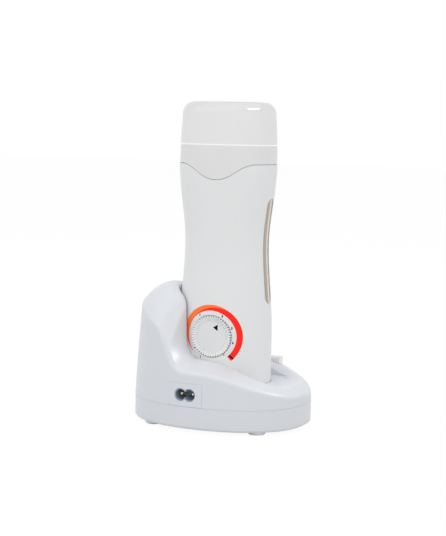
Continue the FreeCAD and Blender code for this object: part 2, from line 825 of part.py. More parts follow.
def make_handle_bottom_cover():
    """Plate that closes the handle's foot round its power inlet."""
    plate = handle_form(0.0, cover_low_z, cover_low_z + cover_thickness)
    low_edges = [edge for edge in plate.Edges if edge.BoundBox.ZMax < cover_low_z + 0.01]
    plate = plate.makeChamfer(0.8, low_edges)
    lip = handle_form(handle_wall + 0.35, cover_low_z + 1.0, shell_low_z + 3.0)
    lip = lip.cut(handle_form(handle_wall + 1.6, cover_low_z, shell_low_z + 4.0))
    return plate.fuse(lip).cut(plug_block(plug_gap, 0, above_all))


def make_handle_inlet():
    """Insulator in the handle's foot that receives the dock's plug block."""
    z0 = cover_low_z + cover_thickness
    body = box(handle_x - 12.5, handle_x + 12.5, -7.5, 7.5, z0, plug_top_z + 6.4)
    uprights = [edge for edge in body.Edges if edge.BoundBox.ZLength > 5]
    body = body.makeFillet(1.5, uprights)
    body = body.cut(plug_block(plug_gap, z0 - 1.0, plug_top_z + plug_gap))
    for side in (-1, 1):
        body = body.cut(post(1.7, handle_x + side * contact_gap / 2.0, 0, z0, above_all))
    return body


def make_handle_contacts():
    """Two sleeve contacts that take the dock's round contacts."""
    contacts = []
    for side in (-1, 1):
        x = handle_x + side * contact_gap / 2.0
        sleeve = post(1.6, x, 0, plug_top_z + 0.8, plug_top_z + 7.0)
        sleeve = sleeve.cut(post(1.15, x, 0, plug_top_z, plug_top_z + 5.0))
        contacts.append(sleeve.fuse(post(0.7, x, 0, plug_top_z + 6.9, plug_top_z + 10.0)))
    return Part.makeCompound(contacts)


# ---------------------------------------------------- neck, chamber and heat
chamber_half_width = cartridge_half_width + cartridge_gap + chamber_wall
chamber_half_depth = cartridge_half_depth + cartridge_gap + chamber_wall
neck_inset = cap_wall + neck_gap
flange_low_z = neck_top_z - 2.4


def chamber_prism(grow, z0, z1):
    """Upright solid on the heating chamber's outer outline."""
    half_x = chamber_half_width + grow
    half_y = chamber_half_depth + grow
    return oval_prism(half_x, half_y, chamber_roundness, z0, z1, handle_x)


def make_neck_ring():
    """Neck under the cap: skirt, flat rim and the sleeve round the chamber's mouth."""
    low = wave_low_z - 10.0
    skirt = handle_form(neck_inset, low, neck_top_z)
    rims = [edge for edge in skirt.Edges if edge.BoundBox.ZMin > neck_top_z - 0.01]
    skirt = skirt.makeFillet(0.9, rims)
    skirt = skirt.cut(handle_form(neck_inset + 1.8, low - 1.0, neck_top_z - 2.2))
    sleeve = chamber_prism(1.6, neck_top_z - 9.0, neck_top_z - 2.0)
    ring = skirt.fuse(sleeve)
    return ring.cut([chamber_prism(0.25, 0, above_all), chamber_prism(1.3, flange_low_z - 0.1, above_all)])


def make_heating_chamber():
    """Aluminium cup that warms the cartridge, flanged at the top, with a sight slot."""
    cup = chamber_prism(0.0, chamber_floor_z, flange_low_z + 1.2)
    cup = cup.fuse(chamber_prism(1.1, flange_low_z, flange_low_z + 1.2))
    cup = cup.cut(chamber_prism(-chamber_wall, chamber_floor_z + chamber_wall, above_all))
    slot = stadium_x(window_half_width - 2.5, window_low_z + 4.0, window_high_z - 4.0, handle_x, 60)
    return cup.cut(slot)


def make_heating_mats():
    """Two heating mats bonded to the chamber's wide faces."""
    low = window_low_z + 8.0
    high = window_high_z - 12.0
    wrap = chamber_prism(0.1 + mat_thickness, low, high).cut(chamber_prism(0.1, low - 1, high + 1))
    half = 0.66 * chamber_half_width
    front = wrap.common(box(handle_x - half, handle_x + half, -60, 0, 0, above_all))
    rear = wrap.common(box(handle_x - half, handle_x + half, 0, 60, 0, above_all))
    return Part.makeCompound([front, rear])


def make_chamber_seat():
    """Cradle plate that carries the chamber on the shells' ledges."""
    low = ledge_z + 1.9
    plate = handle_form(handle_wall + 0.3, low, chamber_floor_z - 0.1)
    middle = box(handle_x - 15, handle_x + 15, -8, 8, 0, above_all)
    return plate.cut([middle, rod(cup_radius + fit_gap, dial_x, -60, cup_back_y + fit_gap, dial_z)])


def make_thermal_fuse():
    """One-shot thermal fuse under the chamber's floor."""
    z = chamber_floor_z - 2.0
    start = Vector(handle_x - 6.5, 0, z)
    body = Part.makeCylinder(1.8, 13.0, start, Vector(1, 0, 0))
    lead = Part.makeCylinder(0.45, 25.0, Vector(handle_x - 12.5, 0, z), Vector(1, 0, 0))
    return body.fuse(lead)


def window_prism(grow):
    """The window's round-ended slot through the narrow side, grown all round."""
    return stadium_x(window_half_width + grow, window_low_z - grow, window_high_z + grow, handle_x, 60)


def window_skin(outer_inset, inner_inset):
    """Layer of the handle's wall in the window's height range."""
    low = window_low_z - 6.0
    high = window_high_z + 6.0
    return handle_form(outer_inset, low, high).cut(handle_form(inner_inset, low - 1, high + 1))


def make_window_lens():
    """Tinted level window on the narrow side, glued behind its slot."""
    back = handle_wall + lens_flange_thickness + 0.15
    pane = window_skin(lens_recess, handle_wall).common(window_prism(-lens_clearance))
    flange = window_skin(handle_wall + 0.15, back).common(window_prism(lens_flange_reach))
    root = window_skin(lens_recess + 0.5, back).common(window_prism(-lens_clearance))
    return pane.fuse([flange, root])


# ---------------------------------------------------------- dial, thermostat
def groove_wedge(bottom, side, out, run):
    """Three-sided cutter: its bottom edge runs along run, and it opens along out."""
    left = bottom + out - side
    right = bottom + out + side
    return Part.Face(Part.makePolygon([bottom, left, right, bottom])).extrude(run)


def face_groove():
    """Radial groove across the knob's cone band."""
    reach = dial_radius - dial_face_radius
    slope = math.atan2(dial_dish, reach)
    run = Vector(reach, -dial_dish, 0)
    out = Vector(-math.sin(slope), -math.cos(slope), 0) * (2.0 * rib_groove_depth)
    start = Vector(dial_face_radius + 0.4, rim_y + dial_dish, 0) - out * 0.5
    side = Vector(0, 0, 2.0 * rib_groove_half_width)
    return groove_wedge(start, side, out, run)


def side_groove():
    """Groove down the knob's rim."""
    out = Vector(2.0 * rib_groove_depth, 0, 0)
    start = Vector(dial_radius - rib_groove_depth, rim_y - 1.0, 0)
    side = Vector(0, 0, 2.0 * rib_groove_half_width)
    return groove_wedge(start, side, out, Vector(0, dial_thickness + 2.0, 0))


def make_dial_knob():
    """Dished temperature knob with a ribbed band and a splined hub."""
    y_face = rim_y + dial_dish
    points = [
        Vector(0, y_face, 0),
        Vector(dial_face_radius, y_face, 0),
        Vector(dial_radius - 0.6, rim_y, 0),
        Vector(dial_radius - 0.25, rim_y, 0),
        Vector(dial_radius, rim_y + 0.4, 0),
        Vector(dial_radius, dial_back_y, 0),
        Vector(hub_radius, dial_back_y, 0),
        Vector(hub_radius, hub_back_y, 0),
        Vector(0, hub_back_y, 0),
        Vector(0, y_face, 0),
    ]
    knob = Part.Face(Part.makePolygon(points)).revolve(Vector(0, 0, 0), Vector(0, 1, 0), 360)
    knob = knob.cut(Part.makeCylinder(shaft_radius + 0.03, 5.0, Vector(0, y_face + 1.4, 0), Vector(0, 1, 0)))
    grooves = []
    for i in range(dial_ribs):
        for groove in (face_groove, side_groove):
            cutter = groove()
            cutter.rotate(Vector(0, 0, 0), Vector(0, 1, 0), 360.0 * i / dial_ribs)
            grooves.append(cutter)
    knob = knob.cut(grooves)
    knob.translate(Vector(dial_x, 0, dial_z))
    return knob


def make_scale_ring():
    """Coloured scale ring, flush in its groove round the dial."""
    return ring_tool(0.0).common(ring_skin(ring_thickness)).common(handle_form(0.0, dial_z - 40, dial_z + 40))


def make_thermostat_shaft():
    """Shaft that the knob turns."""
    return rod(shaft_radius, dial_x, rim_y + dial_dish + 1.6, bracket_y + 8.0, dial_z)


def make_thermostat_bracket():
    """Plate that holds the thermostat on the front shell's bosses."""
    half = bracket_x + 3.4
    plate = box(dial_x - half, dial_x + half, bracket_y, bracket_y + 1.2, dial_z - 7, dial_z + 7)
    uprights = [edge for edge in plate.Edges if abs(edge.BoundBox.YLength - 1.2) < 0.1]
    plate = plate.makeFillet(3.0, uprights)
    cuts = [rod(4.6, dial_x, -60, 0, dial_z)]
    for side in (-1, 1):
        cuts.append(rod(1.25, dial_x + side * bracket_x, -60, 0, dial_z))
    return plate.cut(cuts)


def make_thermostat_body():
    """Adjustable thermostat behind the dial, with its threaded bushing."""
    low = bracket_y + 1.3
    back = low + thermostat_depth
    body = rod(thermostat_radius, dial_x, low, back, dial_z)
    rims = [edge for edge in body.Edges if edge.Length > 2 * thermostat_radius]
    body = body.makeChamfer(0.8, [edge for edge in rims if edge.BoundBox.YLength < 0.01])
    bushing = rod(4.4, dial_x, bracket_y - 1.0, low + 0.5, dial_z)
    tabs = []
    for side in (-1, 1):
        x = dial_x + side * 6.0
        tabs.append(box(x - 2.4, x + 2.4, back - 0.2, back + 5.0, dial_z + 3.0, dial_z + 3.8))
    body = body.fuse([bushing] + tabs)
    return body.cut(rod(shaft_radius + 0.05, dial_x, -60, bracket_y + 8.1, dial_z))


def make_bracket_screws():
    """Two screws that fasten the thermostat's bracket."""
    screws = []
    for side in (-1, 1):
        x = dial_x + side * bracket_x
        head = rod(2.2, x, bracket_y + 1.2, bracket_y + 2.8, dial_z)
        screws.append(head.fuse(rod(0.95, x, bracket_y - 3.0, bracket_y + 1.3, dial_z)))
    return Part.makeCompound(screws)


# ------------------------------------------------------------------- the cap
def make_cap():
    """Frosted cap with a wavy lower edge."""
    low = wave_low_z - 4.0
    outer = handle_form(0.0, low, cap_top_z)
    rims = [edge for edge in outer.Edges if edge.BoundBox.ZMin > cap_top_z - 0.01]
    outer = outer.makeFillet(cap_top_radius, rims)
    ceiling = cap_top_z - cap_wall
    inner = handle_form(cap_wall, low - 1.0, ceiling)
    rims = [edge for edge in inner.Edges if edge.BoundBox.ZMin > ceiling - 0.01]
    inner = inner.makeFillet(cap_top_radius - cap_wall, rims)
    return outer.cut(inner).common(above_wave(seam_gap))


nodes = {
    "base_top_shell": make_base_top_shell,
    "base_bottom_shell": make_base_bottom_shell,
    "rubber_feet": make_rubber_feet,
    "base_screws": make_base_screws,
    "inlet_bezel": make_inlet_bezel,
    "inlet_socket": make_inlet_socket,
    "inlet_pins": make_inlet_pins,
    "dock_connector": make_dock_connector,
    "dock_contacts": make_dock_contacts,
    "switch_body": make_switch_body,
    "switch_slider": make_switch_slider,
    "handle_front_shell": make_handle_front_shell,
    "handle_rear_shell": make_handle_rear_shell,
    "handle_screws": make_handle_screws,
    "handle_bottom_cover": make_handle_bottom_cover,
    "handle_inlet": make_handle_inlet,
    "handle_contacts": make_handle_contacts,
    "neck_ring": make_neck_ring,
    "heating_chamber": make_heating_chamber,
    "heating_mats": make_heating_mats,
    "chamber_seat": make_chamber_seat,
    "thermal_fuse": make_thermal_fuse,
    "window_lens": make_window_lens,
    "scale_ring": make_scale_ring,
    "dial_knob": make_dial_knob,
    "thermostat_shaft": make_thermostat_shaft,
    "thermostat_body": make_thermostat_body,
    "thermostat_bracket": make_thermostat_bracket,
    "bracket_screws": make_bracket_screws,
    "cap": make_cap,
}

os.makedirs("parts", exist_ok=True)
for name, make in nodes.items():
    save(name, make())
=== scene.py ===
import math

import bpy
from mathutils import Matrix, Vector
from mathutils.bvhtree import BVHTree


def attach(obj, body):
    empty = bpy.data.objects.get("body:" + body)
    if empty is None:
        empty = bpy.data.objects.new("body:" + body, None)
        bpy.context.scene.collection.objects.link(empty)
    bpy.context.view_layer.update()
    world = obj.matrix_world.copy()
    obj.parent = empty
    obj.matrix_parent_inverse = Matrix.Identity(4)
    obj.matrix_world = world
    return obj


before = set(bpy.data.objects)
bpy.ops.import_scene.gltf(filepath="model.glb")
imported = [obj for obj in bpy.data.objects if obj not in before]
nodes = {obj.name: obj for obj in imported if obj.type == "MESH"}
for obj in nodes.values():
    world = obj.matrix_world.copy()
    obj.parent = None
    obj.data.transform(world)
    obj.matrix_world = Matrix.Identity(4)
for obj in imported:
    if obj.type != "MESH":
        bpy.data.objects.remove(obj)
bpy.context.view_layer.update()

# Roll-on wax heater in its dock. Metres and degrees, in the frame of the CAD model:
# +Z up, -Y the dial side, +X the window side.

# ---------------------------------------------------------------------- camera
CAMERA_AZIMUTH = 21.8
CAMERA_ELEVATION = 6.27
CAMERA_ROLL = 1.12
CAMERA_DISTANCE = 0.9931
CAMERA_TARGET = Vector((0.0, 0.0, 0.112))
CAMERA_LENS = 90.6
CAMERA_SENSOR = 36.0
CAMERA_SHIFT = (-0.0041, 0.0025)
CAMERA_CLIP = (0.05, 20.0)

# -------------------------------------------------- dial, with radii of its ribs
DIAL_X = 0.0001
DIAL_Z = 0.0657
DIAL_RIBS = 48
RIBS_START = 0.0118
RIBS_RIM = 0.0141
RIBS_BLUR = 0.0005
# painted light: the ribbed band is made lighter to offset the shade its grooves cast
RIBS_PAINTED_LIGHT = 1.12

# painted shade in the grooves: places in shares of the ribs' pitch, then strengths
GROOVE_EDGE = 0.26
GROOVE_FLOOR = 0.06
GROOVE_SHADE_TONE = 0.3
FAINT_GROOVE_SHADE = 0.12

# ---------------------- printed scale, with angles from the dial's top, leftward
RING_INNER = 0.0188
RING_OUTER = 0.0229
RING_MARGIN = 0.0002
RED_STARTS = 45.0
RED_FILLS = -50.0
RED_BLUR = 0.0005
WARM_STARTS = 70.0
WARM_ENDS = 120.0
TAPER_STARTS = 62.0
TAPER_ENDS = 132.0
STOP_LINE_ANGLE = -133.0
STOP_LINE_WIDTH = 0.0014
# painted light: the print glows faintly, though it is no lamp
SCALE_PAINTED_GLOW = 0.1

# --------------------------------- printed figures, placed from the dial's centre
PRINT_THICKNESS = 0.00006
NUMERAL_SIZE = 0.0023
NUMERAL_BOLDNESS = 0.0001
NUMERAL_CURVE_STEPS = 3
NUMERAL_PLACES = (
    (-0.0080, -0.0157),
    (-0.0132, -0.0091),
    (-0.0093, 0.0152),
    (0.0084, 0.0151),
    (0.0155, 0.0067),
    (0.0164, -0.0039),
    (0.0101, -0.0127),
)
MARK_CENTRE = (0.0029, 0.0064)
MARK_LENGTH = 0.0035
MARK_HEIGHT = 0.0046

# ------ cap: painted highlight line where the neck's rim shows, with its half widths, and the crown
RIM_LINE_Z = 0.2037
RIM_LINE_FULL = 0.00027
RIM_LINE_GONE = 0.00072
# painted highlight: the rim line also glows a little, though it is no lamp
RIM_HIGHLIGHT_GLOW = 0.06
# where the crown turns opaque and darker, painted shade on the cap's top
CROWN_STARTS_Z = 0.2265
CROWN_ENDS_Z = 0.2348

# -------------------------------- level window: places of its painted highlight band along Y
BAND_CENTRE = 0.0018
BAND_HALF_WIDTH = 0.0016
BAND_BLUR = 0.0009

# ---------------------------------- grain and gloss that the materials share
FLOW_SCALE = 16.0
FLOW_DARK = 0.985
FLOW_LIGHT = 1.01
SKIN_SCALE = 1800.0
SKIN_STRENGTH = 0.25
SKIN_DEPTH = 0.00002
SKIN_UNEVENNESS = 0.05
PLASTIC_DETAIL = 2.0
GLOSS_BLUR = 0.18
UNSTRETCHED = (1.0, 1.0, 1.0)

# ---------------------------------------------------------------------- studio
WHITE = (1.0, 1.0, 1.0, 1.0)
FLOOR_REACH = 6.0
FLOOR_DROP = 0.0002
FLOOR_COLOUR = (0.72, 0.72, 0.72, 1.0)
FLOOR_SEEN_SHARE = 0.9
FLOOR_SEEN_STRENGTH = 1.04
SKY_COLOUR = (0.97, 0.98, 1.0, 1.0)
SKY_STRENGTH = 0.73


class Shader:
    """Node tree of a material or the world, with short calls for the nodes that recur."""

    def __init__(self, name, world=False):
        self.owner = bpy.data.worlds.new(name) if world else bpy.data.materials.new(name)
        self.owner.use_nodes = True
        self.tree = self.owner.node_tree
        self.tree.nodes.clear()
        self.output = self.add("ShaderNodeOutputWorld" if world else "ShaderNodeOutputMaterial")

    def add(self, kind, **settings):
        """New node with its settings."""
        node = self.tree.nodes.new(kind)
        for key, value in settings.items():
            setattr(node, key, value)
        return node

    def feed(self, socket, value):
        """Link a socket to another's output, or set it to a constant."""
        if isinstance(value, bpy.types.NodeSocket):
            self.tree.links.new(value, socket)
        else:
            socket.default_value = value

    def math(self, operation, first, second=0.0, clamp=False):
        """Result of one operation on one or two values."""
        node = self.add("ShaderNodeMath", operation=operation, use_clamp=clamp)
        self.feed(node.inputs[0], first)
        self.feed(node.inputs[1], second)
        return node.outputs[0]

    def mix(self, factor, first, second):
        """Mix of two colours."""
        node = self.add("ShaderNodeMix", data_type="RGBA")
        self.feed(node.inputs["Factor"], factor)
        self.feed(node.inputs["A"], first)
        self.feed(node.inputs["B"], second)
        return next(socket for socket in node.outputs if socket.type == "RGBA")

    def shaded(self, pattern, colour, dark, light):
        """A colour between a darker and a lighter tone of itself, by a pattern."""
        return self.mix(pattern, tone(colour, dark), tone(colour, light))

    def ramp(self, value, start, stop):
        """Straight ramp from 0 at the start to 1 at the stop, level outside."""
        offset = self.math("SUBTRACT", value, start)
        return self.math("DIVIDE", offset, stop - start, clamp=True)

    def distance(self, value, centre):
        """How far a value lies from a centre, either way."""
        return self.math("ABSOLUTE", self.math("SUBTRACT", value, centre))

    def spread(self, value, low, high):
        """A value from 0 to 1 mapped to a range."""
        node = self.add("ShaderNodeMapRange")
        self.feed(node.inputs["Value"], value)
        self.feed(node.inputs["To Min"], low)
        self.feed(node.inputs["To Max"], high)
        return node.outputs[0]

    def where(self):
        """Object coordinates as three separate outputs."""
        split = self.add("ShaderNodeSeparateXYZ")
        self.feed(split.inputs[0], self.add("ShaderNodeTexCoord").outputs["Object"])
        return split.outputs

    def stretched(self, scale=UNSTRETCHED):
        """Object coordinates stretched along each axis."""
        stretch = self.add("ShaderNodeMapping")
        self.feed(stretch.inputs["Vector"], self.add("ShaderNodeTexCoord").outputs["Object"])
        self.feed(stretch.inputs["Scale"], scale)
        return stretch.outputs[0]

    def round_dial(self):
        """Radius from the dial's axis, and angle from its top, leftward."""
        where = self.where()
        across = self.math("SUBTRACT", where["X"], DIAL_X)
        upward = self.math("SUBTRACT", where["Z"], DIAL_Z)
        squares = self.math("MULTIPLY", across, across)
        squares = self.math("ADD", squares, self.math("MULTIPLY", upward, upward))
        leftward = self.math("MULTIPLY", across, -1.0)
        angle = self.math("DEGREES", self.math("ARCTAN2", leftward, upward))
        return self.math("SQRT", squares), angle

    def noise(self, scale, detail, stretch=UNSTRETCHED):
        """Cloudy texture from 0 to 1, finer with a larger scale."""
        node = self.add("ShaderNodeTexNoise")
        self.feed(node.inputs["Vector"], self.stretched(stretch))
        self.feed(node.inputs["Scale"], scale)
        self.feed(node.inputs["Detail"], detail)
        return node.outputs["Fac"]

    def bump(self, height, strength, distance):
        """Normal of a surface with a fine relief."""
        node = self.add("ShaderNodeBump")
        self.feed(node.inputs["Height"], height)
        self.feed(node.inputs["Strength"], strength)
        self.feed(node.inputs["Distance"], distance)
        return node.outputs[0]

    def flow_tone(self, colour):
        """Plastic's colour with the faint tone of its flow in the mould."""
        flow = self.noise(FLOW_SCALE, PLASTIC_DETAIL)
        return self.shaded(flow, colour, FLOW_DARK, FLOW_LIGHT)

    def plastic_skin(self, roughness, gloss, gloss_blur):
        """Sockets of a moulded surface: fine relief, uneven roughness and a glossy coat."""
        skin = self.noise(SKIN_SCALE, PLASTIC_DETAIL)
        lowest, highest = roughness - SKIN_UNEVENNESS, roughness + SKIN_UNEVENNESS
        return {
            "Roughness": self.spread(skin, lowest, highest),
            "Normal": self.bump(skin, SKIN_STRENGTH, SKIN_DEPTH),
            "Coat_Weight": gloss,
            "Coat_Roughness": gloss_blur,
        }

    def emission(self, kind, colour, strength):
        """Emission or Background shader of one colour and strength."""
        node = self.add(kind)
        self.feed(node.inputs["Color"], colour)
        self.feed(node.inputs["Strength"], strength)
        return node.outputs[0]

    def seen_white(self, share, otherwise, seen):
        """Shader that the camera, gloss and glass see by a share, and another for the rest."""
        rays = self.add("ShaderNodeLightPath").outputs
        direct = self.math("MAXIMUM", rays["Is Camera Ray"], rays["Is Glossy Ray"])
        direct = self.math("MAXIMUM", direct, rays["Is Transmission Ray"])
        blend = self.add("ShaderNodeMixShader")
        self.feed(blend.inputs[0], self.math("MULTIPLY", direct, share))
        self.feed(blend.inputs[1], otherwise)
        self.feed(blend.inputs[2], seen)
        return blend.outputs[0]

    def finish(self, shader):
        """The material or world, with a shader as its surface."""
        self.feed(self.output.inputs["Surface"], shader)
        return self.owner

    def principled(self, **values):
        """The material, with a Principled shader whose sockets are fed by name."""
        node = self.add("ShaderNodeBsdfPrincipled")
        for key, value in values.items():
            self.feed(node.inputs[key.replace("_", " ")], value)
        return self.finish(node.outputs[0])


# ------------------------------------------------------------------- materials
def tone(colour, share):
    """A colour made darker or lighter by a share, with alpha 1."""
    return tuple(min(channel * share, 1.0) for channel in colour) + (1.0,)


def moulded(name, colour, roughness, gloss, gloss_blur=GLOSS_BLUR):
    """Moulded plastic: faint flow tone, a fine skin and slightly uneven gloss."""
    shader = Shader(name)
    return shader.principled(
        Base_Color=shader.flow_tone(colour),
        **shader.plastic_skin(roughness, gloss, gloss_blur),
    )


def metal(name, colour, roughness, stretch=UNSTRETCHED):
    """Bare metal with fine drawn or turned marks."""
    shader = Shader(name)
    marks = shader.noise(scale=900.0, detail=4.0, stretch=stretch)
    return shader.principled(
        Base_Color=shader.shaded(marks, colour, dark=0.9, light=1.05),
        Roughness=shader.spread(marks, low=roughness - 0.08, high=roughness + 0.12),
        Normal=shader.bump(marks, strength=0.15, distance=0.00002),
        Metallic=1.0,
    )


def rubber(name, colour):
    """Matt rubber with a dusty, slightly pitted skin."""
    shader = Shader(name)
    tone_mask = shader.noise(scale=60.0, detail=4.0)
    pits = shader.noise(scale=2600.0, detail=3.0)
    return shader.principled(
        Base_Color=shader.shaded(tone_mask, colour, dark=0.88, light=1.1),
        Roughness=shader.spread(pits, low=0.6, high=0.82),
        Normal=shader.bump(pits, strength=0.4, distance=0.00005),
    )


def heating_mat(name, colour):
    """Silicone mat that shows the weave of its glass cloth."""
    shader = Shader(name)
    cloth = shader.add("ShaderNodeTexChecker")
    shader.feed(cloth.inputs["Vector"], shader.stretched())
    shader.feed(cloth.inputs["Scale"], 900.0)
    weave = cloth.outputs["Fac"]
    return shader.principled(
        Base_Color=shader.shaded(weave, colour, dark=0.82, light=1.1),
        Roughness=0.55,
        Normal=shader.bump(weave, strength=0.3, distance=0.00008),
    )


def frosted(name, colour, neck_shade_colour, crown_shade_colour, opacity):
    """Frosted plastic, opaque in the crown, with painted shade over the neck and on the crown, and
    a faintly glowing painted highlight line where the neck's rim shows.
    """
    shader = Shader(name)
    skin = shader.noise(scale=2200.0, detail=2.0)
    cloud = shader.noise(scale=22.0, detail=2.0)
    height = shader.where()["Z"]
    crown = shader.ramp(height, CROWN_STARTS_Z, CROWN_ENDS_Z)
    off_line = shader.distance(height, RIM_LINE_Z)
    # painted highlight along the neck's rim
    line = shader.ramp(off_line, RIM_LINE_GONE, RIM_LINE_FULL)
    over_neck = shader.math("LESS_THAN", height, RIM_LINE_Z)
    body = shader.shaded(cloud, colour, FLOW_DARK, FLOW_LIGHT)
    # painted shade: darker over the neck, and darker again in the crown
    body = shader.mix(over_neck, body, tone(neck_shade_colour, 1.0))
    body = shader.mix(crown, body, tone(crown_shade_colour, 1.0))
    return shader.principled(
        Base_Color=shader.mix(line, body, WHITE),
        Roughness=shader.spread(skin, low=0.24, high=0.34),
        Normal=shader.bump(skin, strength=0.1, distance=0.00001),
        Alpha=shader.math("MAXIMUM", shader.spread(crown, low=opacity, high=1.0), line),
        Emission_Color=WHITE,
        Emission_Strength=shader.math("MULTIPLY", line, RIM_HIGHLIGHT_GLOW),
        Specular_IOR_Level=0.0,
        Coat_Weight=1.0,
        Coat_Roughness=0.05,
    )


def tinted_window(name, colour, pale, opacity):
    """Tinted clear strip with a painted highlight: a pale band along its middle."""
    shader = Shader(name)
    # painted highlight: a pale band along the middle of the strip
    off_band = shader.distance(shader.where()["Y"], BAND_CENTRE)
    edge = shader.ramp(off_band, BAND_HALF_WIDTH, BAND_HALF_WIDTH + BAND_BLUR)
    tint = shader.mix(edge, tone(pale, 1.0), tone(colour, 1.0))
    haze = shader.noise(scale=120.0, detail=2.0)
    smear = shader.spread(haze, low=0.0, high=0.12)
    return shader.principled(
        Base_Color=shader.mix(smear, tint, tone(colour, 1.2)),
        Roughness=shader.spread(haze, low=0.12, high=0.2),
        Alpha=opacity,
        Coat_Weight=0.8,
        Coat_Roughness=0.05,
    )


def ribbed(name, colour, roughness, gloss, gloss_blur=GLOSS_BLUR):
    """Dial plastic with painted light and shade: lighter on its ribbed band, and darker in the
    grooves between the ribs, painted shade that is faint on the band and full at the rim.
    """
    shader = Shader(name)
    radius, angle = shader.round_dial()
    past_face = shader.ramp(radius, RIBS_START - RIBS_BLUR, RIBS_START)
    # painted light: the ribbed band is lighter than the face
    body = shader.mix(past_face, shader.flow_tone(colour), tone(colour, RIBS_PAINTED_LIGHT))

    # painted shade in the grooves between the ribs: faint on the ribbed band, full at the rim
    off_groove = shader.math("PINGPONG", shader.math("MULTIPLY", angle, DIAL_RIBS / 360.0), 0.5)
    groove = shader.ramp(off_groove, GROOVE_EDGE, GROOVE_FLOOR)
    slope = shader.ramp(radius, RIBS_START, RIBS_START + RIBS_BLUR)
    rim = shader.ramp(radius, RIBS_RIM, RIBS_RIM + RIBS_BLUR)
    depth = shader.math("MAXIMUM", shader.math("MULTIPLY", slope, FAINT_GROOVE_SHADE), rim)
    tone_mask = shader.math("MULTIPLY", groove, depth)
    return shader.principled(
        Base_Color=shader.mix(tone_mask, body, tone(colour, GROOVE_SHADE_TONE)),
        **shader.plastic_skin(roughness, gloss, gloss_blur),
    )


def scale_colours(name):
    """Printed scale: orange band, red wedge that grows to fill it, black end line, with a faint
    painted glow.
    """
    orange = (1.0, 0.20, 0.045, 1.0)
    warm = (1.0, 0.16, 0.08, 1.0)
    red = (1.0, 0.025, 0.015, 1.0)
    black = (0.006, 0.005, 0.005, 1.0)
    bare = (0.82, 0.82, 0.82, 1.0)
    shader = Shader(name)
    radius, angle = shader.round_dial()
    band = shader.mix(shader.ramp(angle, WARM_STARTS, WARM_ENDS), orange, warm)

    filled = shader.ramp(angle, RED_STARTS, RED_FILLS)
    reach = shader.spread(filled, RING_INNER - RING_MARGIN, RING_OUTER + RING_MARGIN)
    beyond = shader.ramp(shader.math("SUBTRACT", radius, reach), 0.0, RED_BLUR)
    printed = shader.mix(beyond, red, band)

    taper = shader.ramp(angle, TAPER_STARTS, TAPER_ENDS)
    outer = shader.spread(taper, RING_OUTER + RING_MARGIN, RING_INNER)
    printed = shader.mix(shader.math("GREATER_THAN", radius, outer), printed, bare)

    half_line = math.degrees(STOP_LINE_WIDTH / 2.0 / RING_OUTER)
    off_line = shader.distance(angle, STOP_LINE_ANGLE)
    printed = shader.mix(shader.math("LESS_THAN", off_line, half_line), printed, black)
    grain = shader.noise(scale=1500.0, detail=2.0)
    return shader.principled(
        Base_Color=printed,
        Roughness=shader.spread(grain, low=0.5, high=0.62),
        # painted glow: the print emits a little of its own colour
        Emission_Color=printed,
        Emission_Strength=SCALE_PAINTED_GLOW,
        Specular_IOR_Level=0.15,
    )


def ink(name, colour):
    """Printed ink, slightly uneven."""
    shader = Shader(name)
    wear = shader.noise(scale=1400.0, detail=3.0)
    return shader.principled(
        Base_Color=shader.shaded(wear, colour, dark=0.7, light=1.3),
        Roughness=shader.spread(wear, low=0.5, high=0.7),
        Specular_IOR_Level=0.1,
    )


def dress(material, *names):
    """Give CAD nodes their material."""
    for name in names:
        for slot in nodes[name].material_slots:
            slot.material = material


# ------------------------------------------------------------- printed details
def surface_of(name):
    """Ray target made from a CAD node's mesh."""
    return BVHTree.FromObject(nodes[name], bpy.context.evaluated_depsgraph_get())


def press_on(mesh, tree):
    """Lay a flat print in the XZ plane on a front, its -Y side proud and the other sunk."""
    for vertex in mesh.vertices:
        start = Vector((vertex.co.x, -1.0, vertex.co.z))
        front = tree.ray_cast(start, Vector((0.0, 1.0, 0.0)))[0].y
        vertex.co.y = front + math.copysign(PRINT_THICKNESS, vertex.co.y)


def print_piece(name, mesh, material, body):
    """Link a pressed mesh as a visible piece that rides on a body."""
    mesh.materials.clear()
    mesh.materials.append(material)
    piece = bpy.data.objects.new(name, mesh)
    bpy.context.scene.collection.objects.link(piece)
    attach(piece, body)


def print_numeral(text, place, tree, material):
    """Small printed numeral on the handle, outside the dial."""
    data = bpy.data.curves.new("numeral_text", "FONT")
    data.body = text
    data.size = NUMERAL_SIZE
    data.align_x = "CENTER"
    data.align_y = "CENTER"
    data.extrude = PRINT_THICKNESS
    data.offset = NUMERAL_BOLDNESS
    data.resolution_u = NUMERAL_CURVE_STEPS
    holder = bpy.data.objects.new("numeral_text", data)
    mesh = bpy.data.meshes.new_from_object(holder)
    bpy.data.objects.remove(holder)
    centre_x, centre_z = DIAL_X + place[0], DIAL_Z + place[1]
    for vertex in mesh.vertices:
        across, upward, depth = vertex.co
        vertex.co = (centre_x + across, -depth, centre_z + upward)
    press_on(mesh, tree)
    print_piece("numeral_" + text, mesh, material, "handle")


def print_mark(tree, material):
    """Black pointer printed on the dial's face."""
    centre_x, centre_z = DIAL_X + MARK_CENTRE[0], DIAL_Z + MARK_CENTRE[1]
    outline = [
        (centre_x - MARK_LENGTH / 2.0, centre_z),
        (centre_x + MARK_LENGTH / 2.0, centre_z - MARK_HEIGHT / 2.0),
        (centre_x + MARK_LENGTH / 2.0, centre_z + MARK_HEIGHT / 2.0),
    ]
    corners = [(x, side, z) for side in (-1.0, 1.0) for x, z in outline]
    faces = [(0, 1, 2), (5, 4, 3), (0, 3, 4, 1), (1, 4, 5, 2), (2, 5, 3, 0)]
    mesh = bpy.data.meshes.new("dial_mark")
    mesh.from_pydata(corners, [], faces)
    press_on(mesh, tree)
    print_piece("dial_mark", mesh, material, "dial")


